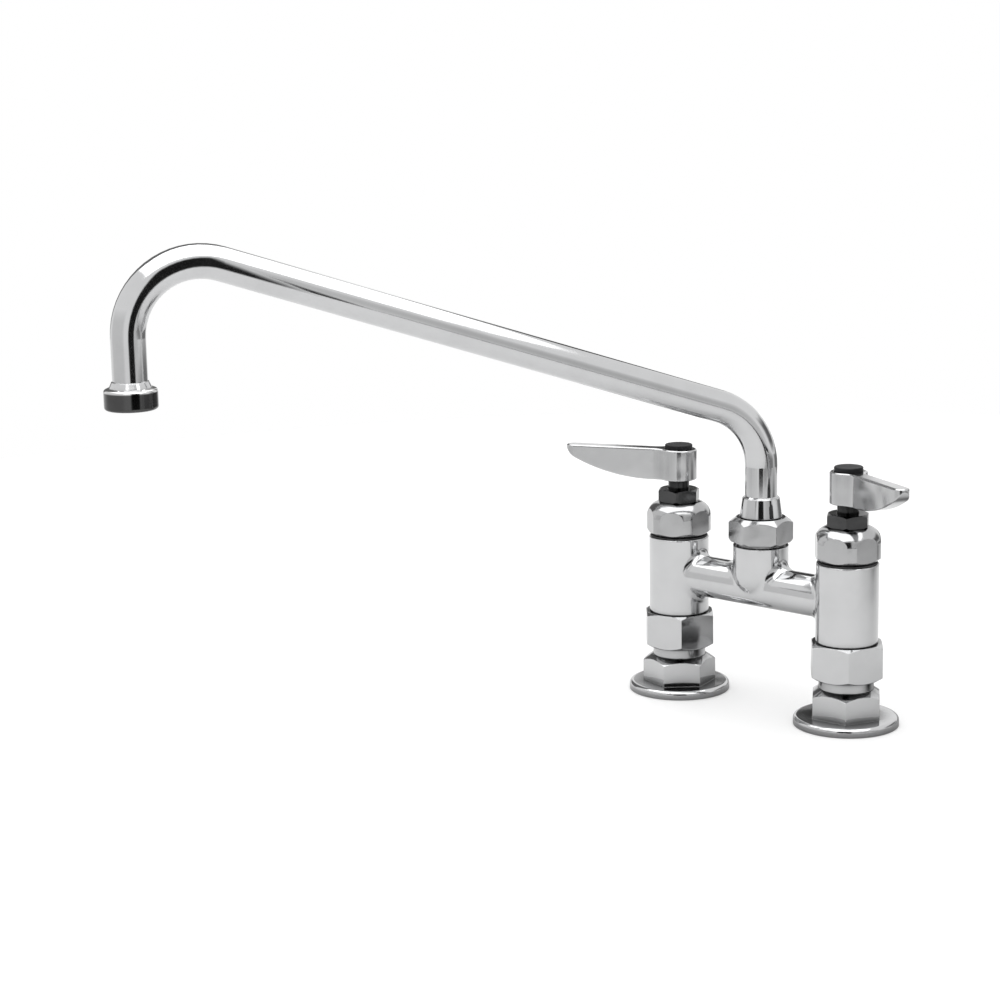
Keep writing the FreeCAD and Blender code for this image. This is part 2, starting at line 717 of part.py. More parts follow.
def lever(name, x, turn):
    """A round hub and a blade along the body's own x.

    The top is one plane that rises to the tip. The underside sweeps up to it and rounds off at the nose.
    """
    body = new_body(name, x, turn)
    peak = "hub_top + lever_rise"
    rods(body, "Pad", "hub_dia / 2", "hub_bottom", peak)
    blade = sketch(body, "XY_Plane", "hub_bottom")
    half, tip = "lever_thick / 2", "lever_length - lever_thick / 2"
    left, left_end = FreeCAD.Vector(0, value(half), 0), FreeCAD.Vector(value(tip), value(half), 0)
    right, right_end = FreeCAD.Vector(0, -value(half), 0), FreeCAD.Vector(value(tip), -value(half), 0)
    nose = Part.Arc(right_end, FreeCAD.Vector(value("lever_length"), 0, 0), left_end)
    for start, end in ((left_end, left), (left, right), (right, right_end)):
        blade.addGeometry(Part.LineSegment(start, end), False)
    blade.addGeometry(nose, False)
    for first, second in ((0, 1), (1, 2)):
        join(blade, first, second)
    hold(blade, 1, 1, "0", half)
    hold(blade, 1, 2, "0", "-" + half)
    hold(blade, 2, 2, tip, "-" + half)
    hold(blade, 0, 1, tip, half)
    join(blade, 2, 3)
    join(blade, 3, 0)
    dimension(blade, tip, "DistanceX", -1, 1, 3, 3)
    raise_or_cut(body, blade, "Pad", "hub_height + lever_rise")

    def root_corner(edge):
        upright = edge.BoundBox.ZLength > value("hub_height + lever_rise") - 0.001
        start = edge.Vertexes[0].Point
        on_hub = abs((start.x ** 2 + start.y ** 2) ** 0.5 - value("hub_dia / 2")) < 0.01
        return upright and on_hub and abs(abs(start.y) - value(half)) < 0.01

    round_edges(body, "lever_root_round", root_corner)

    slope = sketch(body, "XZ_Plane")
    polygon(slope, [
        ("-hub_dia", "hub_top - lever_rise * hub_dia / lever_length"),
        ("lever_length + hub_dia", "hub_top + lever_rise * (lever_length + hub_dia) / lever_length"),
        ("lever_length + hub_dia", "hub_top + 3 * lever_rise"),
        ("-hub_dia", "hub_top + 3 * lever_rise"),
    ])
    raise_or_cut(body, slope, "Pocket", "2 * hub_dia", both_ways=True)

    sweep = sketch(body, "XZ_Plane")
    tip_z = peak + " - lever_tip"
    nose_x, nose_z = "lever_length - lever_nose_run", tip_z + " - lever_nose_depth"
    rise, run = f"{nose_z} - hub_bottom", f"{nose_x} - lever_straight"
    radius = value(f"(({run}) ^ 2 + ({rise}) ^ 2) / (2 * ({rise}))")
    start = FreeCAD.Vector(value("lever_straight"), value("hub_bottom"), 0)
    knee = FreeCAD.Vector(value(nose_x), value(nose_z), 0)
    tip_end = FreeCAD.Vector(value("lever_length"), value(tip_z), 0)
    corner = FreeCAD.Vector(tip_end.x, start.y, 0)
    long_arc = arc_from(start, FreeCAD.Vector(1, 0, 0), knee)
    short_arc = arc_from(knee, FreeCAD.Vector(start.y + radius - knee.y, knee.x - start.x, 0), tip_end)
    for edge in (long_arc, short_arc, Part.LineSegment(tip_end, corner), Part.LineSegment(corner, start)):
        sweep.addGeometry(edge, False)
    smooth(sweep, 0, 2, 1, 1)
    for first, second in ((1, 2), (2, 3), (3, 0)):
        join(sweep, first, second)
    hold(sweep, 3, 2, "lever_straight", "hub_bottom")
    hold(sweep, 0, 2, nose_x, nose_z)
    hold(sweep, 1, 2, "lever_length", tip_z)
    hold(sweep, 2, 2, "lever_length", "hub_bottom")
    dimension(sweep, "lever_straight", "DistanceX", -1, 1, 0, 3)
    raise_or_cut(body, sweep, "Pocket", "hub_dia", both_ways=True)

    def top_rim(edge):
        middle = edge.valueAt((edge.FirstParameter + edge.LastParameter) / 2)
        climb = value("lever_rise / lever_length")
        points = [vertex.Point for vertex in edge.Vertexes] + [middle]
        return all(abs(point.z - value("hub_top") - climb * point.x) < 0.001 for point in points)

    round_edges(body, "lever_top_round", top_rim)

    doc.recompute()
    under = []
    for face in body.Tip.Shape.Faces:
        low, high, left, right = face.ParameterRange
        if face.normalAt((low + high) / 2, (left + right) / 2).z < -0.2:
            under.append(face)

    def bottom_rim(edge):
        return sum(any(side.isSame(edge) for side in face.Edges) for face in under) == 1

    round_edges(body, "lever_bottom_round", bottom_rim)
    cut_outline(body, square, "stem_square + 2 * thread_gap", "hub_bottom", "socket_top")
    rods(body, "Pocket", "handle_screw_dia / 2 + open_gap", "socket_top", "web_top")
    rods(body, "Pocket", "handle_screw_head_dia / 2 + open_gap", "web_top", peak)
    rods(body, "Pocket", "button_dia / 2 + thread_gap", "button_floor", peak)
    return body


def handle_screw(name, x):
    body = new_body(name, x)
    head_top = "web_top + handle_screw_head"
    turn_profile(body, [
        ("0", "web_top - handle_screw_length"),
        ("handle_screw_dia / 2", "web_top - handle_screw_length"),
        ("handle_screw_dia / 2", "web_top"),
        ("handle_screw_head_dia / 2", "web_top"),
        ("handle_screw_head_dia / 2", head_top),
        ("0", head_top),
    ])
    driver_slot(body, "handle_screw_head_dia", head_top + " - slot_depth", head_top)
    return body


def index_button(name, x):
    """A domed snap-in cap with a short plug below."""
    body = new_body(name, x)
    turn_profile(body, [
        ("0", "button_floor - button_plug"),
        ("handle_screw_head_dia / 2", "button_floor - button_plug"),
        ("handle_screw_head_dia / 2", "button_floor"),
        ("button_dia / 2", "button_floor"),
        ("button_dia / 2", "hub_top + button_crown"),
        ("0", "hub_top + button_crown"),
    ])
    round_edges(body, "button_crown - button_edge", ring_edge("button_dia / 2", "hub_top + button_crown"))
    return body


# Spout

def spout_tube(turn):
    """One bent tube: riser, a bend onto the rising run, a bend over the top and the drop."""
    body = new_body("spout_tube", turn=turn)
    path = sketch(body, "XZ_Plane")
    knee = "bend_radius * tan((90 - spout_rise) / 2 * 1 deg)"
    slope = "spout_rise * 1 deg"
    bend = value("bend_radius")
    lean = FreeCAD.Vector(value(f"cos({slope})"), value(f"sin({slope})"), 0)
    across = FreeCAD.Vector(-lean.y, lean.x, 0)
    foot = FreeCAD.Vector(0, value("tube_foot"), 0)
    first = FreeCAD.Vector(0, value("spout_knee - " + knee), 0)
    first_centre = first + FreeCAD.Vector(bend, 0, 0)
    second = first_centre + across * bend
    last_centre = FreeCAD.Vector(value("spout_reach - bend_radius"), value("bend_centre"), 0)
    third = last_centre + across * bend
    fourth = last_centre + FreeCAD.Vector(bend, 0, 0)
    tip = FreeCAD.Vector(fourth.x, value("tube_end"), 0)
    turn_in = (first - first_centre + (second - first_centre)).normalize() * bend
    turn_out = (third - last_centre + (fourth - last_centre)).normalize() * bend
    for edge in (Part.LineSegment(foot, first), Part.Arc(first, first_centre + turn_in, second),
                 Part.LineSegment(second, third), Part.Arc(third, last_centre + turn_out, fourth),
                 Part.LineSegment(fourth, tip)):
        path.addGeometry(edge, False)
    hold(path, 0, 1, "0", "tube_foot")
    hold(path, 0, 2, "0", "spout_knee - " + knee)
    # both bends run clockwise, so each one's second end comes first along the path
    smooth(path, 0, 2, 1, 2)
    smooth(path, 1, 1, 2, 1)
    smooth(path, 2, 2, 3, 2)
    smooth(path, 3, 1, 4, 1)
    dimension(path, "bend_radius", "Radius", 1)
    dimension(path, "bend_radius", "Radius", 3)
    hold(path, 4, 1, "spout_reach", "bend_centre")
    hold(path, 4, 2, "spout_reach", "tube_end")
    section = sketch(body, "XY_Plane", "tube_foot")
    circle(section, "tube_dia / 2")
    circle(section, "tube_bore / 2")
    pipe = feature(body, "AdditivePipe")
    pipe.Profile = section
    pipe.Spine = (path, [])
    doc.recompute()
    return body


def spout_spigot(turn):
    """The spout's turned foot: O-ring grooves below, thrust flange, and a socket for the tube."""
    body = new_body("spout_spigot", turn=turn)
    journal = "spigot_dia / 2"
    turn_profile(body, [
        ("tube_bore / 2", "spigot_end"),
        (journal, "spigot_end"),
        (journal, "spigot_flange_bottom"),
        ("spigot_flange_dia / 2", "spigot_flange_bottom"),
        ("spigot_flange_dia / 2", "spigot_flange_top"),
        (journal, "spigot_flange_top"),
        (journal, "spigot_top"),
        ("brazed_bore / 2", "spigot_top"),
        ("brazed_bore / 2", "tube_foot"),
        ("tube_bore / 2", "tube_foot"),
    ])
    half = "oring_section / 2 + thread_gap"
    for centre in ORING_HEIGHTS.values():
        turn_profile(body, [
            ("oring_seat - thread_gap", f"{centre} - ({half})"),
            ("spigot_bore / 2", f"{centre} - ({half})"),
            ("spigot_bore / 2", f"{centre} + {half}"),
            ("oring_seat - thread_gap", f"{centre} + {half}"),
        ], "Groove")
    return body


ORING_HEIGHTS = {
    "lower_o_ring": "spigot_end + oring_inset",
    "upper_o_ring": "spigot_end + oring_inset + oring_pitch",
}


def o_ring(name, centre, turn):
    body = new_body(name, turn=turn)
    section = sketch(body, "XZ_Plane")
    circle(section, "oring_section / 2", "oring_seat + oring_section / 2", centre)
    turn_sketch(body, section)
    return body


def spout_collar(turn):
    body = new_body("spout_collar", turn=turn)
    turn_profile(body, [
        ("brazed_bore / 2", "spigot_top"),
        ("collar_foot_dia / 2", "spigot_top"),
        ("collar_top_dia / 2", "spigot_top + collar_height"),
        ("brazed_bore / 2", "spigot_top + collar_height"),
    ])
    round_edges(body, "collar_round", ring_edge("collar_top_dia / 2", "spigot_top + collar_height"))
    return body


def swivel_nut(turn):
    body = new_body("swivel_nut", turn=turn)
    corner = "swivel_hex / sqrt(3)"
    thread = "swivel_neck_dia / 2 + thread_gap"
    turn_profile(body, [
        (thread, "swivel_bottom"),
        (corner + " - swivel_foot_chamfer", "swivel_bottom"),
        (corner, "swivel_bottom + swivel_foot_chamfer"),
        (corner, "swivel_top - swivel_top_chamfer"),
        (corner + " - 1.3 * swivel_top_chamfer", "swivel_top"),
        ("spigot_dia / 2 + running_gap", "swivel_top"),
        ("spigot_dia / 2 + running_gap", "swivel_lip_bottom"),
        (thread, "swivel_lip_bottom"),
    ])
    hex_flats(body, "swivel_hex", "swivel_bottom", "swivel_top")
    return body


# Outlet

def at_outlet(body):
    """Move a piece that was turned on its own axis out to the end of the spout."""
    body.setExpression("Placement.Base.x", bound("spout_reach * cos((270 - spout_swing) * 1 deg)"))
    body.setExpression("Placement.Base.y", bound("spout_reach * sin((270 - spout_swing) * 1 deg)"))
    return body


def outlet_ferrule():
    body = new_body("outlet_ferrule")
    turn_profile(body, [
        ("tube_bore / 2", "ferrule_bottom"),
        ("ferrule_dia / 2", "ferrule_bottom"),
        ("ferrule_dia / 2", "outlet_top"),
        ("brazed_bore / 2 + ferrule_edge", "outlet_top + ferrule_flare"),
        ("brazed_bore / 2", "outlet_top + ferrule_flare"),
        ("brazed_bore / 2", "tube_end"),
        ("tube_bore / 2", "tube_end"),
    ])
    return at_outlet(body)


def aerator_housing():
    body = new_body("aerator_housing")
    thread = "ferrule_dia / 2 + thread_gap"
    turn_profile(body, [
        ("outlet_mouth / 2", "outlet_bottom"),
        ("outlet_dia / 2", "outlet_bottom"),
        ("outlet_dia / 2", "outlet_top - outlet_shoulder"),
        ("ferrule_dia / 2 + ferrule_edge", "outlet_top"),
        (thread, "outlet_top"),
        (thread, "insert_bottom"),
        ("outlet_mouth / 2", "insert_bottom"),
    ])
    for height in ("outlet_bottom", "outlet_top - outlet_shoulder"):
        round_edges(body, "outlet_round", ring_edge("outlet_dia / 2", height))
    return at_outlet(body)


def aerator_insert():
    """A flow straightener: a disc with one centre hole and a ring of holes."""
    body = new_body("aerator_insert")
    rods(body, "Pad", "ferrule_dia / 2", "insert_bottom", "aerator_washer_bottom")
    rods(body, "Pocket", "insert_hole_dia / 2", "insert_bottom", "aerator_washer_bottom")
    hole = rods(body, "Pocket", "insert_hole_dia / 2", "insert_bottom", "aerator_washer_bottom",
                [("insert_ring", "0")])
    ring = feature(body, "PolarPattern")
    ring.Originals = [hole]
    ring.Axis = (next(item for item in body.Origin.OriginFeatures if item.Role == "Z_Axis"), [""])
    ring.Angle = 360
    ring.Occurrences = 8
    body.Tip = ring
    doc.recompute()
    return at_outlet(body)


# Assembly

def build_side(side, x, sign):
    """All pieces of one inlet, valve and lever. The sign mirrors the turns of hexagons and lever."""
    forward = "180 + lever_forward" if sign < 0 else "360 - lever_forward"
    made = [
        inlet_flange(side + "_inlet_flange", x, side + "_inlet_turn"),
        coupling_nut(side + "_coupling_nut", x, side + "_coupling_turn"),
        retaining_ring(side + "_retaining_ring", x),
        flat_ring(side + "_union_washer", "lower_bore / 2", "tail_dia / 2", "neck_top", "tail_end", x),
        valve_seat(side + "_valve_seat", x),
        plunger(side + "_plunger", x, side + "_bonnet_turn"),
        flat_ring(side + "_seat_washer", "washer_screw_dia / 2 + thread_gap", "seat_washer_dia / 2",
                  "washer_bottom", "washer_top", x),
        washer_screw(side + "_washer_screw", x),
        flat_ring(side + "_bonnet_gasket", "bonnet_thread_dia / 2 + thread_gap",
                  "column_dia / 2 - gasket_inset", "column_top", "bonnet_seat", x),
        bonnet(side + "_bonnet", x, side + "_bonnet_turn"),
        flat_ring(side + "_stem_packing", "stem_dia / 2 + running_gap", "packing_dia / 2 - thread_gap",
                  "packing_floor", "packing_top", x),
        packing_nut(side + "_packing_nut", x, "packing_nut_turn"),
        spindle(side + "_spindle", x, forward),
        lever(side + "_lever", x, forward),
        handle_screw(side + "_handle_screw", x),
        index_button(side + "_index_button", x),
    ]
    return made


def build():
    aim = "270 - spout_swing"
    made = [bridge_body()]
    made += build_side("hot", "-centres / 2", -1)
    made += build_side("cold", "centres / 2", 1)
    made += [
        swivel_nut("swivel_turn"),
        flat_ring("swivel_washer", "spigot_bore / 2", "swivel_neck_dia / 2 - thread_gap",
                  "swivel_neck_top", "swivel_washer_top"),
        spout_tube(aim),
        spout_spigot(aim),
        spout_collar(aim),
        outlet_ferrule(),
        aerator_housing(),
        aerator_insert(),
        at_outlet(flat_ring("aerator_washer", "tube_bore / 2", "ferrule_dia / 2",
                            "aerator_washer_bottom", "ferrule_bottom")),
    ]
    made += [o_ring(name, centre, aim) for name, centre in ORING_HEIGHTS.items()]
    return made


def write(pieces):
    """Stop on any failed object or bad shape, then write one file for each piece."""
    doc.recompute()
    failed = [item.Label for item in doc.Objects if {"Invalid", "Error"} & set(item.State)]
    failed += [item.Label for item in pieces if item.Shape.isNull() or not item.Shape.isValid()]
    failed += [item.Label for item in pieces if len(item.Shape.Solids) != 1]
    if failed:
        raise RuntimeError("not built: " + ", ".join(failed))
    os.makedirs("parts", exist_ok=True)
    for item in pieces:
        item.Shape.exportStep(f"parts/{item.Label}.step")
    print(len(pieces), "pieces written")


write(build())
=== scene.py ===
# %% [markdown]
# A deck-mount faucet in polished chrome, dressed on its solids. The solids already have every main
# shape: bridge, columns, nuts, levers and spout. This lesson gives them their finishes, adds the small
# turned and woven details that a solid model leaves out, and builds the studio around them.

# %% Load the solids
import json
import math

import bmesh
import bpy
from mathutils import Matrix, Vector


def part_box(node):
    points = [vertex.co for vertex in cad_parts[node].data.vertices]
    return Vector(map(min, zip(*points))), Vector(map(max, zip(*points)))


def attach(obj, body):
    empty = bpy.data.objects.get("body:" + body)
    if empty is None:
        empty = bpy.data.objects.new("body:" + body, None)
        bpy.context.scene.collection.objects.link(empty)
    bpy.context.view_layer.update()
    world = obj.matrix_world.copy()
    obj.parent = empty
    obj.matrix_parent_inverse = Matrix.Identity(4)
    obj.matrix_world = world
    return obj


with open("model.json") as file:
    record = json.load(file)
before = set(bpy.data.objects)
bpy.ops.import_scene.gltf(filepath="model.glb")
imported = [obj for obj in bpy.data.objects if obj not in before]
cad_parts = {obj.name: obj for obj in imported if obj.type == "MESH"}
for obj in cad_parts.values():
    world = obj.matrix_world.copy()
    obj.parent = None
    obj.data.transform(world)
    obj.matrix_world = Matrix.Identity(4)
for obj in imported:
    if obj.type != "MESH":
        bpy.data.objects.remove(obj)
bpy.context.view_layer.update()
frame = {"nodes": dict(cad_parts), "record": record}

# %% [markdown]
# The camera comes from the photograph. Both columns are upright and their flanges are a known distance
# apart, so their outlines give the viewing angle, the distance and the slight roll of the camera. A
# square image with a 36 mm sensor turns the fitted focal length into a lens of about 83 mm. No lens
# shift is needed.

# %% Camera
SENSOR_WIDTH = 36


def aim_camera(place, heading, pitch, roll, lens):
    """A camera at a place in metres, with its angles in degrees and its lens in millimetres."""
    heading, pitch, roll = (math.radians(angle) for angle in (heading, pitch, roll))
    flat = math.cos(pitch)
    ahead = Vector((-math.sin(heading) * flat, math.cos(heading) * flat, -math.sin(pitch)))
    level = Vector((math.cos(heading), math.sin(heading), 0))
    upright = level.cross(ahead)
    right = level * math.cos(roll) + upright * math.sin(roll)
    up = upright * math.cos(roll) - level * math.sin(roll)
    data = bpy.data.cameras.new("camera")
    data.lens = lens
    data.sensor_width = SENSOR_WIDTH
    camera = bpy.data.objects.new("camera", data)
    turn = Matrix((right, up, -ahead)).transposed().to_4x4()
    camera.matrix_world = Matrix.Translation(place) @ turn
    bpy.context.scene.collection.objects.link(camera)
    bpy.context.scene.camera = camera
    return camera


camera = aim_camera(place=(0.654387, -0.903069, 0.330356), heading=42.50, pitch=11.44, roll=-1.08,
                    lens=83.216)
print("camera:", tuple(round(part, 3) for part in camera.location), "lens", round(camera.data.lens, 1))

# %% [markdown]
# A finish is a small graph of shader nodes. Writing it node by node hides the idea, so one class wraps
# a socket and lets Python's own operators add the Math nodes. Any other node comes from its `node`
# method: first the node's settings, then its sockets.

# %% Shader sums
class Signal:
    """One output of a shader node, ready for sums."""

    def __init__(self, tree, socket=None):
        self.tree = tree
        self.socket = socket

    def node(self, kind, settings=None, sockets=None, output=0):
        made = self.tree.nodes.new("ShaderNode" + kind)
        for name, setting in (settings or {}).items():
            if name == "stops":
                stops = made.color_ramp.elements
                while len(stops) < len(setting):
                    stops.new(1)
                for stop, (place, grey) in zip(stops, setting):
                    stop.position = place
                    stop.color = (grey, grey, grey, 1)
            else:
                setattr(made, name, setting)
        for name, entry in (sockets or {}).items():
            if isinstance(entry, Signal):
                self.tree.links.new(entry.socket, made.inputs[name])
            else:
                made.inputs[name].default_value = entry
        return Signal(self.tree, made.outputs[output])

    def maths(self, operation, first, second):
        return self.node("Math", {"operation": operation}, {0: first, 1: second})

    def __add__(self, other):
        return self.maths("ADD", self, other)

    def __radd__(self, other):
        return self.maths("ADD", other, self)

    def __sub__(self, other):
        return self.maths("SUBTRACT", self, other)

    def __rsub__(self, other):
        return self.maths("SUBTRACT", other, self)

    def __mul__(self, other):
        return self.maths("MULTIPLY", self, other)

    def __rmul__(self, other):
        return self.maths("MULTIPLY", other, self)

    def __truediv__(self, other):
        return self.maths("DIVIDE", self, other)

    def __rtruediv__(self, other):
        return self.maths("DIVIDE", other, self)

    def __gt__(self, other):
        return self.maths("GREATER_THAN", self, other)


print("shader sums ready")

# %% [markdown]
# Every finish starts from Blender's main shader and uses the same few nodes: the piece's own
# coordinates, noise for marks, a ramp that sharpens a mark, and a mix of two colours. A short helper
# for each keeps the finishes below down to what is special about them.

# %% Finish helpers
def new_finish(name):
    """An empty material, its graph and its main shader."""
    material = bpy.data.materials.new(name)
    material.use_nodes = True
    graph = Signal(material.node_tree)
    shader = material.node_tree.nodes["Principled BSDF"]
    return material, graph, shader


def feed(graph, shader, **sockets):
    """Set or link the main shader's sockets by name."""
    for name, entry in sockets.items():
        socket = shader.inputs[name.replace("_", " ")]
        if isinstance(entry, Signal):
            graph.tree.links.new(entry.socket, socket)
        else:
            socket.default_value = entry


def own_place(graph):
    """The piece's own coordinates in metres."""
    return graph.node("TexCoord", output="Object")


def noise(graph, place, scale, detail, roughness=0.5):
    """A cloudy level with so many marks per metre."""
    return graph.node("TexNoise", {}, {"Vector": place, "Scale": scale, "Detail": detail,
                                       "Roughness": roughness})


def ramp(graph, level, stops):
    """A level sent through stops of place and grey."""
    return graph.node("ValToRGB", {"stops": stops}, {"Fac": level})


def blend(graph, share, first, second):
    """A colour between two. The Mix node has its colours in inputs 6 and 7 and its result in output 2."""
    return graph.node("Mix", {"data_type": "RGBA"}, {0: share, 6: (*first, 1), 7: (*second, 1)}, output=2)


print("finish helpers ready")

# %% [markdown]
# Bright chrome is a mirror that gives back a little over half of the light. What makes it look real is
# small: the plate follows the ripple of the metal under it, wiping leaves faint smears that blur the
# mirror, and a drying drop leaves a ring. Edges were buffed round before plating, so a Bevel node bends
# the normal there. An Ambient Occlusion node finds the narrow grooves and darkens the colour there: this
# is painted shade, for the dark that falls into the grooves. One function makes all the chrome, and each
# finish has its own tone, blur, ripple and buffed edge.

# %% Chrome finishes
# marks per metre
SMEARS = 55
CLOUDS = 14
SCRATCHES = 900
DROPS = 160
# ramps that pick out the smears, the rings of dried drops and the painted shade in the grooves
SMEAR_RAMP = ((0.42, 0), (0.7, 1))
DROP_RAMP = ((0.0, 0), (0.13, 0), (0.16, 1), (0.19, 0))
GROOVE_SHADE_RAMP = ((0.35, 0.05), (0.85, 1))
# drops dry only where the clouds are above this level
WETTED = 0.56
# how far a groove's wall can be for its painted shade, in metres
GROOVE_SHADE_REACH = 0.010
# what a smear, a dried drop and a scratch take from the tone, add to the blur or cut into the plate
SMEAR_SHADE = 0.035
DROP_SHADE = 0.02
SMEAR_BLUR = 0.05
DROP_BLUR = 0.05
SCRATCH_BLUR = 0.025
SCRATCH_CUT = 0.01
# chrome is a trace colder than grey: red, green and blue
CHROME_TINT = (0.992, 0.997, 1.006)
# each plate's tone, blur, ripple height, ripple length and buffed radius, the last three in metres
PLATES = {
    "chrome_cast": (0.60, 0.07, 0.00025, 0.022, 0.0006),
    "chrome_nut": (0.58, 0.06, 0.0001, 0.016, 0.0005),
    "chrome_bonnet": (0.45, 0.10, 0.0002, 0.012, 0.0006),
    "chrome_tube": (0.60, 0.06, 0.0001, 0.03, 0.0004),
    "chrome_lever": (0.53, 0.08, 0.0003, 0.018, 0.0006),
    # the very low tone of chrome_stem and dark_nut is painted shade: it stands in for the dark they reflect
    # under the levers and domes
    "chrome_stem": (0.09, 0.14, 0.00005, 0.012, 0.0003),
    "dark_nut": (0.09, 0.12, 0.0001, 0.012, 0.0003),
}


def chrome(name, tone, blur, ripple, ripple_size, buffed):
    """Bright plate. Tone and blur are the mirror's level and softness, sizes are in metres."""
    material, graph, shader = new_finish(name)
    place = own_place(graph)
    smear = ramp(graph, noise(graph, place, SMEARS, detail=5, roughness=0.62), SMEAR_RAMP)
    scratch = noise(graph, place, SCRATCHES, detail=2, roughness=0.8)
    spots = graph.node("TexVoronoi", {}, {"Vector": place, "Scale": DROPS, "Randomness": 1})
    dried = ramp(graph, spots, DROP_RAMP) * (noise(graph, place, CLOUDS, detail=2) > WETTED)
    painted_groove_ao = graph.node("AmbientOcclusion", {"samples": 6}, {"Distance": GROOVE_SHADE_REACH}, output="AO")
    # the groove ramp takes the tone down in grooves: painted shade
    level = (tone - SMEAR_SHADE * smear - DROP_SHADE * dried) * ramp(graph, painted_groove_ao, GROOVE_SHADE_RAMP)
    red, green, blue = (level * share for share in CHROME_TINT)
    tint = graph.node("CombineColor", {}, {"Red": red, "Green": green, "Blue": blue})
    softness = blur + SMEAR_BLUR * smear + SCRATCH_BLUR * scratch + DROP_BLUR * dried
    height = noise(graph, place, 1 / ripple_size, detail=1) + SCRATCH_CUT * scratch
    rounded = graph.node("Bevel", {"samples": 4}, {"Radius": buffed})
    bent = graph.node("Bump", {}, {"Strength": 1, "Distance": ripple, "Height": height, "Normal": rounded})
    feed(graph, shader, Base_Color=tint, Metallic=1.0, Roughness=softness, Normal=bent)
    return material


finishes = {name: chrome(name, *plate) for name, plate in PLATES.items()}
print("chrome:", ", ".join(finishes))

# %% [markdown]
# The ring at the outlet is dark plate with a dark grip band, and its shoulder above is given a bright tone:
# a painted highlight, where the shoulder catches the softbox. Both are on one turned piece. Two solids or a
# painted mask could split them, but the shader knows each point's height, so one finish changes from dark to
# bright over half a millimetre.

# %% Ring with painted highlight
# the ring's dark tone, and the bright tone that paints the shoulder's highlight
RING_DARK_AND_PAINTED_HIGHLIGHT = (0.10, 0.62)
SHOULDER = 0.0021
SHOULDER_FADE = 0.0005
RING_SMEARS = 260
RING_SMEAR_SHADE = 0.03
RING_BLUR = 0.09
RING_SMEAR_BLUR = 0.06
RING_BUFFED = 0.0004


def ring_with_painted_highlight(name, dark, bright, edge):
    """A plated ring that is dark below a height in metres, and painted bright above it as a highlight."""
    material, graph, shader = new_finish(name)
    place = own_place(graph)
    height = graph.node("SeparateXYZ", {}, {"Vector": place}, output="Z")
    above = graph.node("MapRange", {}, {"Value": height, "From Min": edge, "From Max": edge + SHOULDER_FADE})
    smear = noise(graph, place, RING_SMEARS, detail=4)
    # the bright share above the edge is a painted highlight
    level = dark + (bright - dark) * above - RING_SMEAR_SHADE * smear
    softness = RING_BLUR + RING_SMEAR_BLUR * smear
    rounded = graph.node("Bevel", {"samples": 4}, {"Radius": RING_BUFFED})
    feed(graph, shader, Base_Color=level, Metallic=1.0, Roughness=softness, Normal=rounded)
    return material


shoulder_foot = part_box("aerator_housing")[1][2] - SHOULDER
finishes["dark_ring"] = ring_with_painted_highlight("dark_ring", *RING_DARK_AND_PAINTED_HIGHLIGHT, shoulder_foot)
print("ring turns bright", round(1000 * shoulder_foot, 1), "mm above the deck")

# %% [markdown]
# The working pieces inside are bare metal. Turned brass and stainless steel carry fine rings round
# their axis from the cutting tool. A noise that is squeezed hard along Z gives such rings without
# knowing where each axis stands.

# %% Turned metals
TOOL_RINGS = (30, 30, 4000)
TOOL_RING_CUT = 0.00004
TOOL_RING_BLUR = 0.12
TARNISH = 130
TARNISH_RAMP = ((0.45, 0), (0.75, 1))
TARNISH_SHARE = 0.6
TARNISH_BLUR = 0.1
# each metal's colour, its tarnished colour and its blur
METALS = {
    "brass": ((0.74, 0.53, 0.23), (0.42, 0.26, 0.11), 0.22),
    "steel": ((0.58, 0.58, 0.59), (0.38, 0.38, 0.39), 0.24),
}


def turned(name, colour, dark, blur):
    """Bare turned metal with tool rings across Z and a little tarnish."""
    material, graph, shader = new_finish(name)
    place = own_place(graph)
    across = graph.node("Mapping", {}, {"Vector": place, "Scale": TOOL_RINGS})
    rings = noise(graph, across, 1, detail=3)
    patch = ramp(graph, noise(graph, place, TARNISH, detail=4), TARNISH_RAMP)
    tint = blend(graph, TARNISH_SHARE * patch, colour, dark)
    softness = blur + TOOL_RING_BLUR * rings + TARNISH_BLUR * patch
    bent = graph.node("Bump", {}, {"Strength": 0.5, "Distance": TOOL_RING_CUT, "Height": rings})
    feed(graph, shader, Base_Color=tint, Metallic=1.0, Roughness=softness, Normal=bent)
    return material


for name, metal in METALS.items():
    finishes[name] = turned(name, *metal)
print("turned metals:", ", ".join(METALS))

# %% [markdown]
# Rubber, pressed fibre, nylon and moulded plastic are not metal. They differ in grain: rubber is fine
# and dusty, fibre has flecks, moulded plastic has a shallow pebble from its mould. One function covers
# them with a grain size, a fleck colour and a gloss.

# %% Soft and moulded finishes
DUST = 220
DUST_RAMP = ((0.4, 0), (0.72, 1))
DUST_BLUR = 0.12
# each finish's colour, fleck colour, gloss, grain and depth in metres, and shine
MOULDED = {
    "rubber": ((0.022, 0.022, 0.023), (0.05, 0.05, 0.05), 0.35, 0.0004, 0.00003, 0.5),
    "fibre": ((0.05, 0.05, 0.052), (0.025, 0.025, 0.026), 0.2, 0.0003, 0.00005, 0.5),
    "nylon": ((0.82, 0.8, 0.74), (0.72, 0.7, 0.63), 0.5, 0.0005, 0.00002, 0.5),
    "button": ((0.010, 0.010, 0.011), (0.022, 0.022, 0.024), 0.62, 0.0006, 0.00001, 0.15),
    "aerator_plastic": ((0.2, 0.21, 0.22), (0.13, 0.13, 0.14), 0.5, 0.0005, 0.00002, 0.5),
}


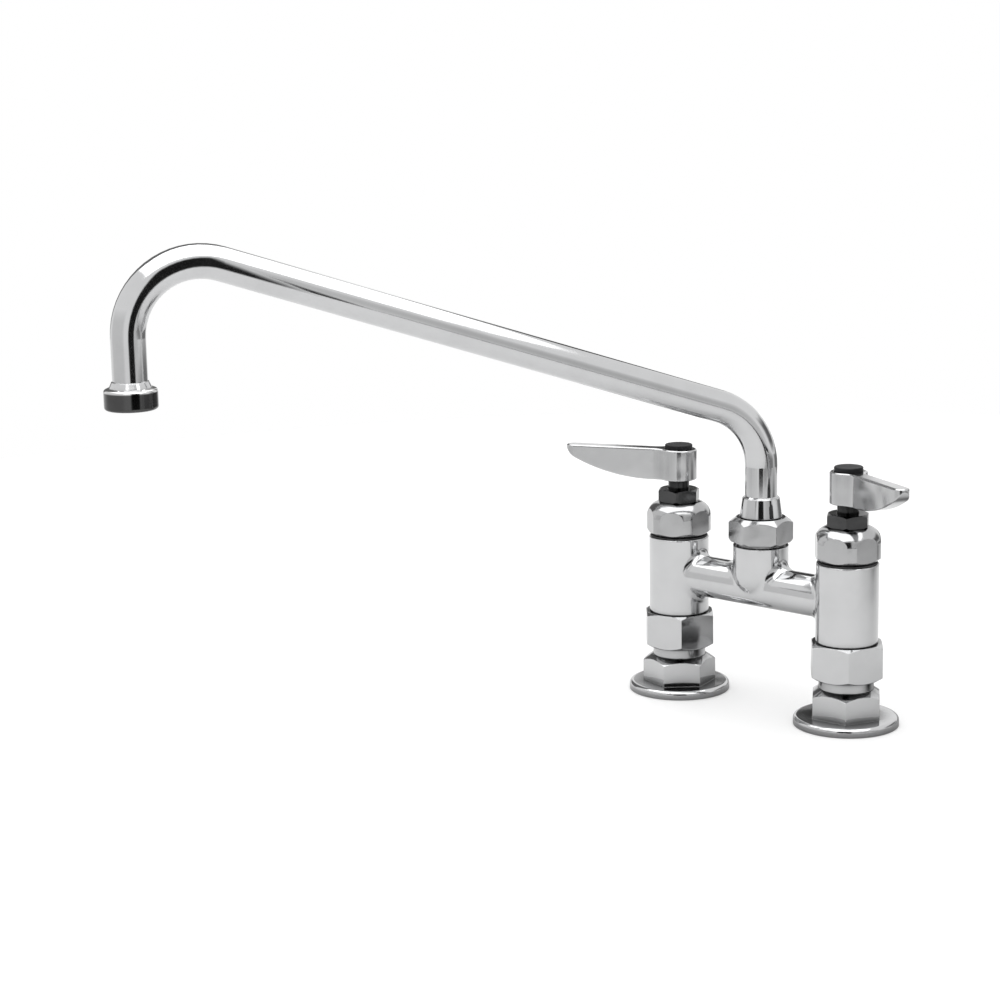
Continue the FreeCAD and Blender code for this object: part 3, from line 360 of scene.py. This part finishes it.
def moulded(name, colour, fleck, gloss, grain, depth, shine):
    """A non-metal with a fine grain. Fleck is its second colour."""
    material, graph, shader = new_finish(name)
    place = own_place(graph)
    pebble = noise(graph, place, 1 / grain, detail=3, roughness=0.6)
    patch = ramp(graph, noise(graph, place, DUST, detail=4), DUST_RAMP)
    tint = blend(graph, patch, colour, fleck)
    softness = 1 - gloss + DUST_BLUR * patch
    bent = graph.node("Bump", {}, {"Strength": 0.6, "Distance": depth, "Height": pebble})
    feed(graph, shader, Base_Color=tint, Metallic=0.0, Roughness=softness, Normal=bent,
         Specular_IOR_Level=shine)
    return material


for name, look in MOULDED.items():
    finishes[name] = moulded(name, *look)
print("finishes:", len(finishes))

# %% [markdown]
# The record says which finish each solid has, so dressing the solids is one loop. Setting them by hand
# in the material panel would work too, but a solid could be missed. Their meshes stay as they are.

# %% Dress the solids
for entry in frame["record"]["subparts"]:
    node = frame["nodes"][entry["node"]]
    node.data.materials.clear()
    node.data.materials.append(finishes[entry["material_slot"]])

# %% [markdown]
# Three small details come next: the pipe threads, the outlet's wire screen and the brazed joints. Each
# is one mesh, made by joining rings of points along a path. Three helpers make a ring's points round an
# upright axis, join the rings, and hang the piece on the body it moves with.

# %% Sweep helpers
def around_axis(centre, angle, outline):
    """An outline of radius and height, turned to an angle about an upright axis."""
    return [(centre[0] + radius * math.cos(angle), centre[1] + radius * math.sin(angle), height)
            for radius, height in outline]


def sweep(build, rings, closed=False):
    """Join rings of points along a path. A closed path ends where it starts, an open one is capped."""
    made = [[build.verts.new(point) for point in ring] for ring in rings]
    pairs = list(zip(made, made[1:]))
    if closed:
        pairs.append((made[-1], made[0]))
    for lower, upper in pairs:
        for place in range(len(lower)):
            after = (place + 1) % len(lower)
            build.faces.new((lower[place], lower[after], upper[after], upper[place]))
    if not closed:
        build.faces.new(made[0])
        build.faces.new(made[-1])


def add_piece(name, build, body, slot):
    """Turn a mesh under construction into a smooth piece with a finish, riding on a body."""
    bmesh.ops.recalc_face_normals(build, faces=build.faces)
    mesh = bpy.data.meshes.new(name)
    build.to_mesh(mesh)
    build.free()
    mesh.shade_smooth()
    mesh.materials.append(finishes[slot])
    piece = bpy.data.objects.new(name, mesh)
    bpy.context.scene.collection.objects.link(piece)
    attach(piece, body)
    print(name, "has", len(mesh.polygons), "faces and rides on", body)


def middle(node):
    """The plan centre of a round solid."""
    low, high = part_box(node)
    return (low[0] + high[0]) / 2, (low[1] + high[1]) / 2


print("sweep helpers ready")

# %% [markdown]
# Each inlet has a pipe thread with 14 turns to the inch. A solid model leaves such a bore plain, because
# a helix is slow to cut and no check needs it. Here a ridge climbs the bore: its foot is sunk in the wall
# and its flat crest stands 0.6 mm proud. Over the first and last quarter turn the ridge grows and fades,
# as a tap leaves it.

# %% Inlet threads
INCH = 0.0254
THREAD_PITCH = INCH / 14
THREAD_HEIGHT = 0.0006
THREAD_SINK = 0.00008
FOOT_SHARE = 0.42
CREST_SHARE = 0.08
RUN_OUT = 0.25
LEAST_GROWN = 0.05
STEPS_PER_TURN = 48
INLET_WALL = 0.0099
THREAD_LOW = 0.0012
THREAD_HIGH = 0.0148


def inlet_thread(name, centre, wall, low, high):
    """A helical ridge in a bore about an upright axis. All sizes are in metres."""
    turns = (high - low) / THREAD_PITCH
    build = bmesh.new()
    rings = []
    for step in range(round(turns * STEPS_PER_TURN) + 1):
        turn = step / STEPS_PER_TURN
        grown = max(LEAST_GROWN, min(1, turn / RUN_OUT, (turns - turn) / RUN_OUT))
        height = low + THREAD_PITCH * turn
        root = wall + THREAD_SINK
        crest = wall - THREAD_HEIGHT * grown
        foot = FOOT_SHARE * THREAD_PITCH * grown
        flat = CREST_SHARE * THREAD_PITCH * grown
        outline = ((root, height - foot), (crest, height - flat),
                   (crest, height + flat), (root, height + foot))
        rings.append(around_axis(centre, 2 * math.pi * turn, outline))
    sweep(build, rings)
    add_piece(name, build, "faucet_body", "brass")


for side in ("hot", "cold"):
    inlet_thread(side + "_inlet_thread", middle(side + "_inlet_flange"), INLET_WALL, THREAD_LOW, THREAD_HIGH)

# %% [markdown]
# Behind the outlet's mouth sits a woven wire screen that breaks up the stream. A picture of a mesh on a
# disc would look flat from close by, so the wires are real. In a plain weave each wire goes over one
# neighbour and under the next, so a cosine lifts one set of wires where it lowers the other.

# %% Outlet screen
SCREEN_RADIUS = 0.0084
SCREEN_PITCH = 0.0011
SCREEN_GAP = 0.0003
WIRE_RADIUS = 0.00013
WIRE_SIDES = 6
STEPS_PER_WIRE = 8
LEAST_STEPS = 4


def wire_screen(name, centre, height, radius, pitch, wire):
    """A round plain weave of thin wires. All sizes are in metres."""
    build = bmesh.new()
    rows = int(radius / pitch)
    for row in range(-rows, rows + 1):
        offset = row * pitch
        half = math.sqrt(radius * radius - offset * offset)
        steps = max(LEAST_STEPS, round(STEPS_PER_WIRE * half / pitch))
        for lift, swapped in ((wire, False), (-wire, True)):
            rings = []
            for step in range(steps + 1):
                along = half * (2 * step / steps - 1)
                rise = height + lift * math.cos(math.pi * (along / pitch + row))
                ring = []
                for side in range(WIRE_SIDES):
                    angle = 2 * math.pi * side / WIRE_SIDES
                    beside = offset + wire * math.cos(angle)
                    above = rise + wire * math.sin(angle)
                    if swapped:
                        ring.append((centre[0] + beside, centre[1] + along, above))
                    else:
                        ring.append((centre[0] + along, centre[1] + beside, above))
                rings.append(ring)
            sweep(build, rings)
    add_piece(name, build, "spout", "steel")


outlet = middle("aerator_housing")
screen_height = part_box("aerator_insert")[0][2] - SCREEN_GAP
wire_screen("outlet_screen", outlet, screen_height, SCREEN_RADIUS, SCREEN_PITCH, WIRE_RADIUS)

# %% [markdown]
# The spout's collar and its end ferrule are brazed to the tube. Molten filler is drawn into a small
# hollow fillet round each joint, a little higher here and lower there. The fillet's outline is an arc
# that meets the tube and the rim, and slow waves change its height round the joint.

# %% Brazed joints
TUBE_RADIUS = INCH * 5 / 16
COLLAR_FILLET = 0.0007
FERRULE_FILLET = 0.00035
FILLET_SINK = 0.00006
FILLET_STEPS = 72
ARC_STEPS = 6
# waves round a joint: share of the height, count and start
FILLET_WAVES = ((0.12, 3, 0.6), (0.07, 7, 2.1))


def braze(name, centre, tube, rim, size):
    """A hollow fillet on a rim's top face, round an upright tube. All sizes are in metres."""
    build = bmesh.new()
    rings = []
    for step in range(FILLET_STEPS):
        angle = 2 * math.pi * step / FILLET_STEPS
        uneven = 1 + sum(share * math.sin(count * angle + start) for share, count, start in FILLET_WAVES)
        outline = [(tube - FILLET_SINK, rim - FILLET_SINK)]
        for part in range(ARC_STEPS + 1):
            bend = math.pi / 2 * part / ARC_STEPS
            outline.append((tube + size * (1 - math.cos(bend)), rim + size * uneven * (1 - math.sin(bend))))
        outline.append((tube + size, rim - FILLET_SINK))
        rings.append(around_axis(centre, angle, outline))
    sweep(build, rings, closed=True)
    add_piece(name, build, "spout", "chrome_tube")


collar_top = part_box("spout_collar")[1][2]
ferrule_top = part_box("outlet_ferrule")[1][2]
braze("collar_braze", middle("spout_collar"), TUBE_RADIUS, collar_top, COLLAR_FILLET)
braze("ferrule_braze", outlet, TUBE_RADIUS, ferrule_top, FERRULE_FILLET)

# %% [markdown]
# The studio is a white table in a white tent, and chrome shows whatever stands around it. A real studio
# would lay grey cloth on the table to shade the metal. Here the Light Path node tells which rays come
# from the metal, so the table has shaded spots for those rays only: the camera still sees plain white
# with the faucet's soft shadow. An arc of spots on the left front darkens the riser and the hubs.

# %% Table and tent
TABLE_RADIUS = 0.9
TABLE_DROP = 0.0002
TABLE_TONE = 0.8
TABLE_BLUR = 0.9
# the table's own light: at its middle, its rise with the square of the distance, and for the metal
MIDDLE_LIGHT = 0.20
OUTER_LIGHT = 0.26
MIRROR_LIGHT = 0.10
# how strongly the tent lights the object
TENT_LIGHT = 0.5
# places on the table that look darker in the metal: x, y, spread in metres and depth
shaded_spots = [
    (0.33, 0.35, 0.19, 0.97), (0.03, 0.04, 0.065, 0.95), (0.56, 0.08, 0.18, 0.45),
    (0.12, 0.065, 0.045, 0.97), (-0.42, -0.50, 0.22, 0.10), (-0.075, 0.035, 0.035, 0.8),
]
ARC_RADIUS = 0.66
ARC_SPREAD = 0.18
ARC_DEPTH = 0.22
for turn in range(-165, -75, 20):
    angle = math.radians(turn)
    shaded_spots.append((ARC_RADIUS * math.cos(angle), ARC_RADIUS * math.sin(angle), ARC_SPREAD, ARC_DEPTH))


def ray(graph, *kinds):
    """One where a ray is of any of these kinds."""
    total = graph.node("LightPath", output="Is " + kinds[0] + " Ray")
    for kind in kinds[1:]:
        total = graph.maths("MAXIMUM", total, graph.node("LightPath", output="Is " + kind + " Ray"))
    return total


def white_table():
    """A round table top that stays white to the camera and keeps the faucet's soft shadow."""
    mesh = bpy.data.meshes.new("table")
    build = bmesh.new()
    bmesh.ops.create_circle(build, cap_ends=True, segments=96, radius=TABLE_RADIUS)
    build.to_mesh(mesh)
    build.free()
    table = bpy.data.objects.new("table", mesh)
    table.location.z = -TABLE_DROP
    bpy.context.scene.collection.objects.link(table)
    material, graph, shader = new_finish("table_white")
    seen = ray(graph, "Camera", "Transmission")
    mirrored = ray(graph, "Glossy")
    place = own_place(graph)
    east = graph.node("SeparateXYZ", {}, {"Vector": place}, output="X")
    north = graph.node("SeparateXYZ", {}, {"Vector": place}, output="Y")
    dusk = 0
    for x, y, spread, depth in shaded_spots:
        off_x = (east - x) / spread
        off_y = (north - y) / spread
        fall = 1 + off_x * off_x + off_y * off_y
        dusk = depth / (fall * fall) + dusk
    kept = 1 - mirrored * dusk
    light = MIDDLE_LIGHT + OUTER_LIGHT * (east * east + north * north)
    feed(graph, shader, Base_Color=TABLE_TONE * kept, Roughness=TABLE_BLUR, Emission_Strength=1.0,
         Emission_Color=(light * seen + MIRROR_LIGHT * mirrored) * kept)
    mesh.materials.append(material)


def white_tent():
    """A world that is white to the camera and in reflections, and lights the object softly."""
    world = bpy.data.worlds.new("tent")
    bpy.context.scene.world = world
    world.use_nodes = True
    graph = Signal(world.node_tree)
    strength = TENT_LIGHT + (1 - TENT_LIGHT) * ray(graph, "Camera", "Glossy", "Transmission")
    background = world.node_tree.nodes["Background"]
    background.inputs["Color"].default_value = (1, 1, 1, 1)
    world.node_tree.links.new(strength.socket, background.inputs["Strength"])


white_table()
white_tent()
print("table with", len(shaded_spots), "shaded spots, and tent ready")

# %% [markdown]
# One wide softbox hangs above the table. It gives the white flashes on the spout, the domes and the
# fillets, and it is turned a little, so that its back edge makes the flash on the long tube narrow
# towards the riser. A lamp's brightness is written against the white background, so that its size can
# change without changing its glare.
#
# The dark streaks on chrome are dark cards beside the table. They are hidden from the camera and from
# soft light, so they show only in the metal, and they fade out at their rims. Low ones to the right and
# behind shade the right sides, and two pale ones, at the left front and on the right, take the glare off
# the tubes. A tall dark one in front draws the black line down the spout and the dark spots on the
# domes, and a small one carries that line on over the outlet's bend. Two high ones at the back left
# give a grey rim to that bend and a dark one to the bridge.

# %% Lamps and cards
# each card's place, what it faces, its width and height, all in metres, its depth and how soon it is dark
CARDS = {
    "right_card": ((0.60, 0.16, 0.0), (0, 0.05, 0.0), (1.0, 0.18), 0.75, 1.2),
    "low_card": ((0.52, -0.25, 0.0), (0, 0, 0.0), (0.5, 0.10), 0.6, 1.5),
    "left_card": ((-0.30, -0.62, 0.14), (0, 0, 0.14), (1.0, 0.40), 0.22, 1.5),
    "side_card": ((0.66, -0.12, 0.22), (0, 0, 0.2), (0.9, 0.7), 0.4, 1),
    "corner_card": ((0.28, 0.53, 0.22), (0, 0, 0.15), (0.65, 0.28), 0.85, 1.2),
    "back_card": ((0.0, 0.62, 0.02), (0, 0, 0.02), (1.2, 0.20), 0.8, 1.2),
    "front_card": ((0.329, -0.453, 0.20), (0, 0, 0.20), (0.34, 0.60), 1.0, 2.5),
    "drop_card": ((0.029, -0.331, 0.225), (-0.161, -0.268, 0.225), (0.15, 0.24), 1.0, 2.0),
    "rim_card": ((-0.85, 0.15, 0.50), (-0.1, -0.2, 0.22), (0.8, 0.9), 0.85, 2.5),
    "bridge_card": ((-0.433, 0.579, 0.406), (0.023, 0.019, 0.062), (0.22, 0.50), 0.95, 2.0),
}


def put(name, data, place, target, front):
    """Put a lamp or a card at a place, with its front axis towards a target."""
    made = bpy.data.objects.new(name, data)
    made.location = place
    made.rotation_euler = (Vector(target) - Vector(place)).to_track_quat(front, "Y").to_euler()
    bpy.context.scene.collection.objects.link(made)
    return made


def softbox(name, place, target, size, level):
    """An area lamp whose own brightness is level, in units of the white background."""
    data = bpy.data.lights.new(name, "AREA")
    data.shape = "RECTANGLE"
    data.size, data.size_y = size
    data.energy = level * math.pi * size[0] * size[1]
    put(name, data, place, target, "-Z")


def soft_card(name, place, target, size, depth, steep):
    """A card that only the metal sees: dark in the middle, by its depth, and white at its rim."""
    half_x, half_y = size[0] / 2, size[1] / 2
    mesh = bpy.data.meshes.new(name)
    corners = [(-half_x, -half_y, 0), (half_x, -half_y, 0), (half_x, half_y, 0), (-half_x, half_y, 0)]
    mesh.from_pydata(corners, [], [(0, 1, 2, 3)])
    card = put(name, mesh, place, target, "Z")
    material, graph, shader = new_finish(name)
    spot = own_place(graph)
    across = graph.node("SeparateXYZ", {}, {"Vector": spot}, output="X") / half_x
    upward = graph.node("SeparateXYZ", {}, {"Vector": spot}, output="Y") / half_y
    inside_x = graph.maths("MINIMUM", steep * (1 - across * across), 1)
    inside_y = graph.maths("MINIMUM", steep * (1 - upward * upward), 1)
    level = 1 - depth * inside_x * inside_y
    feed(graph, shader, Base_Color=(0, 0, 0, 1), Roughness=1.0, Emission_Color=level, Emission_Strength=1.0)
    mesh.materials.append(material)
    card.visible_camera = False
    card.visible_diffuse = False
    card.visible_shadow = False


softbox("ceiling", place=(-0.125, -0.2, 1.025), target=(-0.175, -0.287, 0), size=(1.9, 1.5), level=1.6)
for name, card in CARDS.items():
    soft_card(name, *card)
print("one softbox and", len(CARDS), "cards ready")

# %% [markdown]
# Last, the plain view transform keeps white as white.

# %% View transform
bpy.context.scene.view_settings.view_transform = "Standard"
